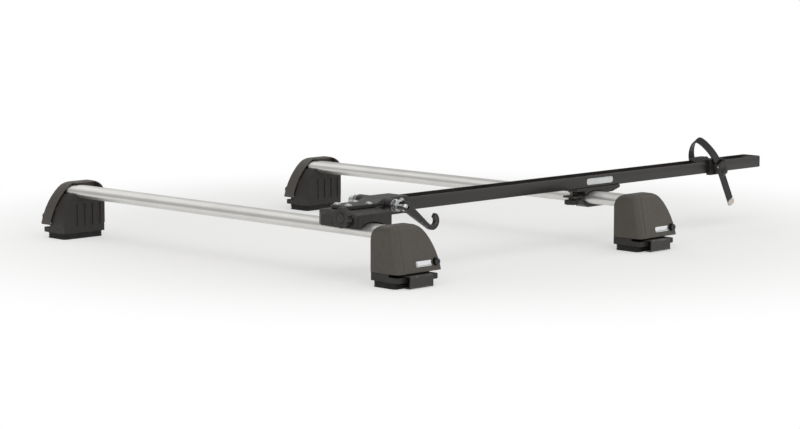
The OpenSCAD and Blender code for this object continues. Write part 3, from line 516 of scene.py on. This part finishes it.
def threadRings(start, axis, lengthMm):
    turn = axis.to_track_quat("Z", "Y").to_matrix()
    rows = int(lengthMm / thread["pitch"] * thread["rowsPerTurn"])
    rings = []
    for row in range(rows + 1):
        z = lengthMm * row / rows
        end = min(1, thread["tipShare"] + (lengthMm - z) / thread["tipRun"])  # the tip is chamfered
        ring = []
        for i in range(thread["sides"]):
            phase = (z / thread["pitch"] - i / thread["sides"]) % 1
            r = (thread["radius"] - thread["deep"] * abs(2 * phase - 1)) * end
            a = 2 * math.pi * i / thread["sides"]
            ring.append(start + turn @ (Vector((r * math.cos(a), r * math.sin(a), z)) * mm))
        rings.append(ring)
    return rings


for node, knob in knobs.items():
    low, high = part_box(node)
    centre = (low + high) / 2
    axis = knob["axis"]
    root = centre + axis * ((low - centre).dot(axis) + knob["grip"] * mm)
    bm = bmesh.new()
    bm.from_mesh(made[node].data)
    clear = thread["clear"] * mm
    shank = [face for face in bm.faces if (face.calc_center_median() - root).dot(axis) > clear]
    bmesh.ops.delete(bm, geom=shank, context="FACES")
    bmesh.ops.holes_fill(bm, edges=[edge for edge in bm.edges if edge.is_boundary])
    bm.to_mesh(made[node].data)
    bm.free()
    length = (high - low).dot(axis) / mm - knob["grip"] + thread["sunk"]
    mesh = ringMesh(node + ".thread", threadRings(root - axis * thread["sunk"] * mm, axis, length))
    smoothFaces(mesh, 50)
    setPiece(node + "_screw", mesh, node, finishes["zinc"])
print("knob screws set")


# stiffening ribs up the inner face of each base
baseRib = {
    "places": (-26, -6, 14, 34), "low": 26, "high": 72, "half": 1.7, "flat": 0.1, "cornerSteps": 4,
    "profile": ((0.5, 0), (-1.4, 0.2), (-1.8, 0.6)),  # out from the inner face, and inset
}
for foot in feet:
    turn, barNode, barX = footPlace(foot)
    tall = (baseRib["high"] - baseRib["low"]) / 2
    ribs = []
    for x in baseRib["places"]:
        rings = []
        for out, inset in baseRib["profile"]:
            half = baseRib["half"] - inset
            outline = roundedOutline(half, tall - inset, half - baseRib["flat"], baseRib["cornerSteps"])
            y = turn * (footInner + out) * mm
            up = baseRib["low"] + tall
            rings.append([(barX + turn * (x + dx) * mm, y, (up + dz) * mm) for dx, dz in outline])
        ribs.append(ringMesh("rib", rings))
    mesh = joinMeshes(foot + "_ribs", ribs)
    smoothFaces(mesh, 40)
    setPiece(foot + "_base_ribs", mesh, "rack", finishes["black_plastic"])
print("base ribs set")


# shroud: a thin web inside each cover that closes the gap between its roof and the bar
shroud = {
    "deep": 27.5, "thick": 1.8, "from": -30, "to": 42, "step": 2, "low": 96,
    "clear": 0.7, "grip": 0.5, "least": 0.2, "castFrom": 200,
}


def solidTree(node):
    mesh = nodes[node].data
    corners = [vert.co for vert in mesh.vertices]
    return BVHTree.FromPolygons(corners, [list(face.vertices) for face in mesh.polygons])


for foot in feet:
    turn, barNode, barX = footPlace(foot)
    roof, wing = solidTree(foot + "_cover"), solidTree(barNode)
    near = turn * (footInner + shroud["deep"]) * mm
    far = near + turn * shroud["thick"] * mm
    rings = []
    for x in range(shroud["from"], shroud["to"] + 1, shroud["step"]):
        place = Vector((barX + turn * x * mm, near, shroud["castFrom"] * mm))
        barTop = wing.ray_cast(place, Vector((0, 0, -1)))[0]
        low = shroud["low"] * mm
        if barTop:
            low = max(low, barTop.z + shroud["clear"] * mm)
        place.z = low
        under = roof.ray_cast(place, Vector((0, 0, 1)))[0]
        if under is None or under.z < low + shroud["least"] * mm:
            continue
        high = under.z + shroud["grip"] * mm
        rings.append([(place.x, near, low), (place.x, far, low), (place.x, far, high), (place.x, near, high)])
    mesh = ringMesh(foot + "_shroud", rings)
    setPiece(foot + "_shroud", mesh, foot + "_cover", finishes["grey_plastic"])
print("shrouds set")


# pads: cured rubber with two grooves round the side
pad = {
    "corner": 8, "grooveHeights": (4.2, 8.2), "groove": 1.1, "grooveHalf": 0.9, "ramp": 0.4,
    "bottomEdge": 0.7, "topEdge": 0.6,
}
for foot in feet:
    low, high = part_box(foot + "_pad")
    centre, half = (low + high) / 2, (high - low) / 2
    tall = (high.z - low.z) / mm
    steps = [(0, pad["bottomEdge"]), (pad["bottomEdge"], 0)]  # height, and inset
    for up in pad["grooveHeights"]:
        bottom, top = up - pad["grooveHalf"], up + pad["grooveHalf"]
        steps += [(bottom - pad["ramp"], 0), (bottom, pad["groove"])]
        steps += [(top, pad["groove"]), (top + pad["ramp"], 0)]
    steps += [(tall - pad["topEdge"], 0), (tall, pad["topEdge"])]
    rings = []
    for up, inset in steps:
        outline = roundedOutline(half.x - inset * mm, half.y - inset * mm, (pad["corner"] - inset) * mm)
        rings.append([(centre.x + x, centre.y + y, low.z + up * mm) for x, y in outline])
    mesh = ringMesh(foot + "_pad.ribbed", rings)
    smoothFaces(mesh)
    setPiece(foot + "_pad.piece", mesh, "rack", finishes["rubber"], foot + "_pad")
print("roof pads set")


# rail: an extrusion with crowned sides, rolled lips and grip ridges on its floor, with a painted highlight
# along the top of its lips
railShape = {
    "wall": 2.5, "channel": 7.5, "mouth": 12, "crown": 1.4, "crownSteps": 12,
    "heel": 1.2, "heelEase": 0.4, "lip": 0.7, "lipOut": 0.3, "lipDown": 0.15, "lipIn": 0.4, "fillet": 1.2,
    "ridges": (5, 10, 15), "ridgeHigh": 0.6, "ridgeFoot": 0.9, "ridgeTop": 0.4, "highlitLip": 1.3,
}
railLow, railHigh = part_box("rail")
railMid = (railLow.y + railHigh.y) / 2
halfWidth, railTall = (railHigh.y - railLow.y) / 2 / mm, (railHigh.z - railLow.z) / mm
wall, crown, mouth = railShape["wall"], railShape["crown"], railShape["mouth"] / 2
heel, ease, fillet = railShape["heel"], railShape["heelEase"], railShape["fillet"]
inside, floorZ = halfWidth - wall, 2 * wall + railShape["channel"]
drawnIn = halfWidth - crown
side = [(mouth, 0), (drawnIn - heel, 0), (drawnIn - ease, ease)]
for i in range(railShape["crownSteps"] + 1):
    share = i / railShape["crownSteps"]
    up = heel + share * (railTall - heel - railShape["lip"])
    side.append((halfWidth - crown * (2 * share - 1) ** 2, up))
side.append((drawnIn - railShape["lipOut"], railTall - railShape["lipDown"]))
side += [(inside + railShape["lipIn"], railTall), (inside, railTall - railShape["lipIn"])]
side += [(inside, floorZ + fillet), (inside - fillet, floorZ)]
for ridge in reversed(railShape["ridges"]):
    ridgeZ = floorZ + railShape["ridgeHigh"]
    side += [(ridge + railShape["ridgeFoot"], floorZ), (ridge + railShape["ridgeTop"], ridgeZ)]
    side += [(ridge - railShape["ridgeTop"], ridgeZ), (ridge - railShape["ridgeFoot"], floorZ)]
under = [(inside, floorZ - wall), (inside, wall), (mouth, wall)]
outline = side + [(-y, z) for y, z in reversed(side)] + [(-y, z) for y, z in reversed(under)] + under
rings = [[(x, railMid + y * mm, railLow.z + z * mm) for y, z in outline] for x in (railLow.x, railHigh.x)]
mesh = ringMesh("rail.extrusion", rings)
smoothFaces(mesh, 32)
# painted highlight: faces along the top of the lips are marked to be painted paler, standing in for light
# falling on the top edge
highlitLipFaces = []
for face in mesh.polygons:
    isHighlitLip = abs(face.normal.x) < 0.5 and face.center.z > railHigh.z - railShape["highlitLip"] * mm
    highlitLipFaces.append(1.0 if isHighlitLip else 0.0)
mesh.attributes.new("edgeWearAndHighlight", "FLOAT", "FACE").data.foreach_set("value", highlitLipFaces)
setPiece("rail.piece", mesh, "carrier", finishes["rail"], "rail")
print("rail set")


# head screws: button heads with a hexagon socket, each on a washer
screw = {
    "head": 6.0, "height": 3.6, "sides": 36, "socket": 2.5, "rim": 1.3,
    "dome": ((0.9, 0), (1, 0.4), (1, 1.2), (0.94, 2.2), (0.8, 3.0), (0.62, 3.45)),  # share of radius, height
    "hole": ((1.08, 0.05), (1.0, 0.3), (1.0, 2.2)),  # share of the socket, depth
}
washer = {"radius": 7.6, "inner": 2, "low": -0.2, "high": 0.9, "chamfer": 0.25, "sides": 40}
screwSpots = {
    "neckThick": 7, "neck": ((-14, 15), (-14, -15), (36, 19), (36, -19)),  # behind the bar, beside the rail
    "socketOut": 27, "socketUp": 18.75,
}


def hexagon(angle):
    sixth = math.pi / 3
    return math.cos(sixth / 2) / math.cos((angle + sixth / 2) % sixth - sixth / 2)


def buttonHead(place, axis):
    top, socket = screw["height"], screw["socket"]
    dome = [(screw["head"] * share, z) for share, z in screw["dome"]] + [(socket * screw["rim"], top)]
    hole = [(socket * share, top - deep) for share, deep in screw["hole"]]
    rings = turnedRings(place, axis, dome, screw["sides"])
    return rings + turnedRings(place, axis, hole, screw["sides"], hexagon)


frontX = middle("front_bar").x
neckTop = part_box("front_saddle")[1].z + screwSpots["neckThick"] * mm
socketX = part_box("head_bolts")[1].x - screw["head"] * mm
socketZ = railLow.z + screwSpots["socketUp"] * mm
screwPlaces = [((frontX + x * mm, railMid + y * mm, neckTop), (0, 0, 1)) for x, y in screwSpots["neck"]]
for way in (-1, 1):
    screwPlaces.append(((socketX, railMid + way * screwSpots["socketOut"] * mm, socketZ), (0, way, 0)))
mesh = joinMeshes("head_screws", [ringMesh("head", buttonHead(*spot)) for spot in screwPlaces])
smoothFaces(mesh, 38)
setPiece("head_screws", mesh, "carrier", finishes["zinc"], "head_bolts")
outer, top, chamfer = washer["radius"], washer["high"], washer["chamfer"]
profile = [(outer, washer["low"]), (outer, top - chamfer), (outer - chamfer, top), (washer["inner"], top)]
washers = [ringMesh("washer", turnedRings(*spot, profile, washer["sides"])) for spot in screwPlaces]
mesh = joinMeshes("head_washers", washers)
smoothFaces(mesh, 30)
setPiece("head_washers", mesh, "carrier", finishes["zinc"])
print("head screws set")


# knob caps: pressed into the dish of each knob
knobCap = {
    "share": 0.515464, "sunk": 1.5, "sides": 40,
    "dome": ((1.0, 0.0), (1.0, 0.5), (0.96, 0.8), (0.8, 1.05), (0.55, 1.2), (0.25, 1.3)),  # share, height
}
for node, knob in knobs.items():
    low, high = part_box(node)
    centre = (low + high) / 2
    axis = knob["axis"]
    place = centre + axis * ((low - centre).dot(axis) + knobCap["sunk"] * mm)
    radius = (high.y - low.y) / 2 / mm * knobCap["share"]
    dome = [(radius * share, z) for share, z in knobCap["dome"]]
    mesh = ringMesh(node + ".cap", turnedRings(place, -axis, dome, knobCap["sides"]))
    smoothFaces(mesh, 40)
    setPiece(node + "_cap", mesh, node, finishes["casting"])
print("knob caps set")


# strap: a moulded band with a recess full of ratchet teeth
strap = {
    "behindFrontBar": 1080, "aboveRail": 16, "lean": 28, "half": 35.8, "rise": 62, "pinch": 0.3,
    "endLow": -14, "tailLow": -87, "archStep": 3, "tailSteps": 12,
    "width": 19, "thick": 3, "edge": 0.5, "recess": 6.0, "recessDeep": 0.7, "recessRamp": 0.6,
}
tooth = {
    "pitch": 3.2, "side": 0.3,
    "profile": ((-1.3, 0.75), (1.3, 0.75), (1.1, 0.05), (0.5, 0.05)),  # along the band, below its face
    "buckle": (-28, 12), "tipBelow": -82, "rivetBelow": 4,  # heights between which the band is covered
}
strapPlace = (frontX + strap["behindFrontBar"] * mm, railMid, railLow.z + strap["aboveRail"] * mm)
strapFrame = Matrix.Translation(strapPlace) @ Matrix.Rotation(math.radians(-strap["lean"]), 4, "Y")


def strapLine(off):
    half = strap["half"] + off
    start = [(half, z) for z in (strap["endLow"], strap["endLow"] / 2)]
    arch = []
    for i in range(0, 181, strap["archStep"]):
        a = math.radians(i)
        y = half * math.cos(a) * (1 - strap["pinch"] * math.sin(a) ** 2)
        arch.append((y, (strap["rise"] + off) * math.sin(a)))
    steps = strap["tailSteps"]
    return start + arch + [(-half, strap["tailLow"] * k / steps) for k in range(1, steps + 1)]


def isCovered(point):
    underBuckle = point.x < 0 and tooth["buckle"][0] < point.y < tooth["buckle"][1]
    underRivet = point.x > 0 and point.y < tooth["rivetBelow"]
    return underBuckle or underRivet or point.y < tooth["tipBelow"]


middleLine, outerLine = strapLine(0), strapLine(1)
w, t, r = strap["width"] / 2, strap["thick"] / 2, strap["recess"]
edge, deep, ramp = strap["edge"], strap["recessDeep"], strap["recessRamp"]
section = [(-w, -t + edge), (-w + edge, -t), (w - edge, -t), (w, -t + edge), (w, t - edge), (w - edge, t)]
section += [(r + ramp, t), (r, t - deep), (-r, t - deep), (-r - ramp, t), (-w + edge, t), (-w, t - edge)]
rings = []
for (y0, z0), (y1, z1) in zip(middleLine, outerLine):
    ring = [Vector((x, y0 + (y1 - y0) * n, z0 + (z1 - z0) * n)) * mm for x, n in section]
    rings.append([strapFrame @ point for point in ring])
mesh = ringMesh("wheel_strap.band", rings)
smoothFaces(mesh, 30)
setPiece("wheel_strap.piece", mesh, "cradle", finishes["strap"], "wheel_strap")
teeth = bmesh.new()
walked, due = 0.0, tooth["pitch"]
for (p0, p1), (o0, o1) in zip(zip(middleLine, middleLine[1:]), zip(outerLine, outerLine[1:])):
    a, b = Vector(p0), Vector(p1)
    length = (b - a).length
    run = (b - a).normalized()
    out = (Vector(o0) - a).lerp(Vector(o1) - b, 0.5).normalized()
    while due <= walked + length:
        point = a.lerp(b, (due - walked) / length)
        due += tooth["pitch"]
        if isCovered(point):
            continue
        corners = []
        for along, below in tooth["profile"]:
            yz = point + run * along + out * (t - below)
            ends = [Vector((x, yz.x, yz.y)) * mm for x in (-r + tooth["side"], r - tooth["side"])]
            corners.append([teeth.verts.new(strapFrame @ end) for end in ends])
        for i in range(len(corners)):
            j = (i + 1) % len(corners)
            teeth.faces.new((corners[i][0], corners[j][0], corners[j][1], corners[i][1]))
        for end in (0, 1):
            teeth.faces.new([corner[end] for corner in corners])
    walked += length
bmesh.ops.recalc_face_normals(teeth, faces=teeth.faces)
mesh = bpy.data.meshes.new("wheel_strap.teeth")
teeth.to_mesh(mesh)
teeth.free()
setPiece("strap_teeth", mesh, "cradle", finishes["strap"])
print("wheel strap set")


# grip: ribs across the cradle's hollow seat
seat = {
    "radius": 28, "axisUp": 20, "places": (-22, -11, 0, 11, 22), "reach": 40, "steps": 8,
    "half": 1.2, "topShare": 0.6, "high": 0.8, "root": -0.3,
}
cradleLow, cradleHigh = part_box("wheel_cradle")
cradleX = (cradleLow.x + cradleHigh.x) / 2
wide, crest = seat["half"], seat["half"] * seat["topShare"]
ribProfile = [(-wide, seat["root"]), (-crest, seat["high"]), (crest, seat["high"]), (wide, seat["root"])]
ribs = []
for x in seat["places"]:
    rings = []
    for step in range(-seat["steps"], seat["steps"] + 1):
        a = math.radians(seat["reach"] * step / seat["steps"])
        ring = []
        for dx, rise in ribProfile:
            r = seat["radius"] - rise
            sideways, up = r * math.sin(a), seat["axisUp"] - r * math.cos(a)
            ring.append((cradleX + (x + dx) * mm, railMid + sideways * mm, cradleHigh.z + up * mm))
        rings.append(ring)
    ribs.append(ringMesh("rib", rings))
setPiece("seat_ribs", joinMeshes("seat_ribs", ribs), "cradle", finishes["black_plastic"])

# grip: round ribs on the buckle's thumb piece, with eased ends
thumb = {
    "half": 8.5, "outer": 47.3, "places": (-5, -8, -11, -14), "radius": 0.9, "sides": 10,
    "ease": 0.6, "endShare": 0.5,
}
half, full = thumb["half"], thumb["half"] - thumb["ease"]
ribs = []
for up in thumb["places"]:
    rings = []
    for x, share in ((-half, thumb["endShare"]), (-full, 1), (full, 1), (half, thumb["endShare"])):
        r = thumb["radius"] * share
        ring = []
        for k in range(thumb["sides"]):
            a = 2 * math.pi * k / thumb["sides"]
            out, rise = -thumb["outer"] + r * math.cos(a), up + r * math.sin(a)
            ring.append(strapFrame @ (Vector((x, out, rise)) * mm))
        rings.append(ring)
    ribs.append(ringMesh("rib", rings))
mesh = joinMeshes("thumb_ribs", ribs)
smoothFaces(mesh, 50)
setPiece("thumb_ribs", mesh, "buckle_lever", finishes["black_plastic"])
print("grip ribs set")


# bare plates: pillowed, with a rounded edge and a slight crown
pillow = {
    "edge": ((0, 0), (0, 0.6), (0.15, 0.9), (0.6, 1)),  # inset and height, as shares of the thickness
    "crownShare": 0.5, "crown": 1.1, "cornerSteps": 6,
}


def pillowPlate(plateFrame, plate):
    halfX, halfY = plate["length"] / 2, plate["height"] / 2
    corner, thick, steps = plate["corner"], plate["thick"], pillow["cornerSteps"]
    rings = []
    for inset, up in pillow["edge"]:
        cut = inset * thick
        outline = roundedOutline(halfX - cut, halfY - cut, corner - cut, steps)
        rings.append([plateFrame @ (Vector((x, y, up * thick)) * mm) for x, y in outline])
    share, top = pillow["crownShare"], pillow["crown"] * thick
    outline = roundedOutline(halfX, halfY, corner, steps)
    rings.append([plateFrame @ (Vector((x * share, y * share, top)) * mm) for x, y in outline])
    mesh = ringMesh("plate", rings)
    smoothFaces(mesh, 40)
    return mesh


# a foil plate on the near side of the rail, over the rear bar
railPlate = {"length": 82, "height": 13, "corner": 5, "thick": 0.8, "behindRearBar": 8, "sunk": 0.3}
plateX = middle("rear_bar").x + railPlate["behindRearBar"] * mm
place = (plateX, railLow.y + railPlate["sunk"] * mm, (railLow.z + railHigh.z) / 2)
plateFrame = Matrix.Translation(place) @ Matrix.Rotation(math.radians(90), 4, "X")
setPiece("rail_plate", pillowPlate(plateFrame, railPlate), "carrier", foilFinish)

# a small badge low on the leaning outer face of each cover
badge = {"length": 42, "height": 11, "corner": 3.5, "thick": 1.3, "fromBar": -22, "above": 43, "sunk": 0.2}
coverFace = {"low": 28, "lowOut": 74, "high": 104, "highOut": 58}  # heights, and out from the inner face
leanOut = (coverFace["highOut"] - coverFace["lowOut"]) / (coverFace["high"] - coverFace["low"])
for foot in feet:
    turn, barNode, barX = footPlace(foot)
    out = coverFace["lowOut"] + leanOut * (badge["above"] - coverFace["low"]) - badge["sunk"]
    place = (barX + turn * badge["fromBar"] * mm, turn * (footInner + out) * mm, badge["above"] * mm)
    across = Vector((-turn, 0, 0))
    up = Vector((0, turn * leanOut, 1)).normalized()
    facing = Matrix((across, up, across.cross(up))).transposed().to_4x4()
    mesh = pillowPlate(Matrix.Translation(place) @ facing, badge)
    setPiece(foot + "_badge", mesh, foot + "_cover", badgeFinish)
print("bare plates set")


# floor: pale, with the object's shadow, fading to white away from it
floorSize = {
    "half": 30, "drop": 0.4, "tone": "#faf9f7", "rough": 0.9, "glow": 0.45, "fadeFrom": 0.6, "fadeTo": 1.3,
}
mesh = bpy.data.meshes.new("floor")
h = floorSize["half"]
mesh.from_pydata([(-h, -h, 0), (h, -h, 0), (h, h, 0), (-h, h, 0)], [], [(0, 1, 2, 3)])
floor = bpy.data.objects.new("floor", mesh)
floor.location.z = -floorSize["drop"] * mm
scene.collection.objects.link(floor)
paint, tree, shader = newFinish(
    "matt paint, rolled", Base_Color=toLinear(floorSize["tone"]), Roughness=floorSize["rough"])
place = addNode(tree, "ShaderNodeTexCoord").outputs["Object"]
reach = addNode(tree, "ShaderNodeVectorMath", {0: place}, operation="LENGTH")
fade = addNode(tree, "ShaderNodeMapRange", {
    "Value": reach.outputs["Value"], "From Min": floorSize["fadeFrom"], "From Max": floorSize["fadeTo"],
    "To Min": floorSize["glow"]}, interpolation_type="SMOOTHSTEP")
path = addNode(tree, "ShaderNodeLightPath")
seen = addNode(tree, "ShaderNodeMath", {
    0: path.outputs["Is Camera Ray"], 1: path.outputs["Is Glossy Ray"]}, operation="MAXIMUM")
seen = addNode(tree, "ShaderNodeMath", {
    0: seen.outputs["Value"], 1: path.outputs["Is Transmission Ray"]}, operation="MAXIMUM")
share = addNode(tree, "ShaderNodeMath", {
    0: fade.outputs["Result"], 1: seen.outputs["Value"]}, operation="MULTIPLY")
white = addNode(tree, "ShaderNodeEmission", {"Color": (1, 1, 1, 1), "Strength": 1.0})
both = addNode(tree, "ShaderNodeMixShader", {
    0: share.outputs["Value"], 1: shader.outputs["BSDF"], 2: white.outputs["Emission"]})
tree.links.new(both.outputs["Shader"], tree.nodes["Material Output"].inputs["Surface"])
mesh.materials.append(paint)

# light: a soft sky all round, white to the camera and dimmer to what it lights
studio = {"sky": 0.38, "seen": 1.0, "shine": 0.15}
world = bpy.data.worlds.new("studio")
scene.world = world
world.use_nodes = True
tree = world.node_tree
path = addNode(tree, "ShaderNodeLightPath")
shone = addNode(tree, "ShaderNodeMath", {
    0: path.outputs["Is Glossy Ray"], 1: studio["shine"]}, operation="MULTIPLY")
seen = addNode(tree, "ShaderNodeMath", {
    0: path.outputs["Is Camera Ray"], 1: shone.outputs["Value"]}, operation="MAXIMUM")
level = addNode(tree, "ShaderNodeMapRange", {
    "Value": seen.outputs["Value"], "To Min": studio["sky"], "To Max": studio["seen"]})
sky = tree.nodes["Background"]
sky.inputs["Color"].default_value = (1, 1, 1, 1)
tree.links.new(level.outputs["Result"], sky.inputs["Strength"])

# one large lamp over the front left and two fills, wide enough that pale metal doesn't mirror them as white
lamps = {
    "key": {"place": (-2.2, -2.6, 3.4), "size": 6.0, "power": 110},
    "fill": {"place": (2.8, -2.2, 2.2), "size": 4.0, "power": 32},
    "back": {"place": (0.6, 3.4, 2.6), "size": 3.0, "power": 18},
}
for name, lamp in lamps.items():
    light = bpy.data.objects.new(name, bpy.data.lights.new(name, "AREA"))
    light.data.energy = lamp["power"]
    light.data.size = lamp["size"]
    light.location = lamp["place"]
    light.rotation_euler = (-Vector(lamp["place"])).to_track_quat("-Z", "Y").to_euler()
    scene.collection.objects.link(light)
print("floor and light set")
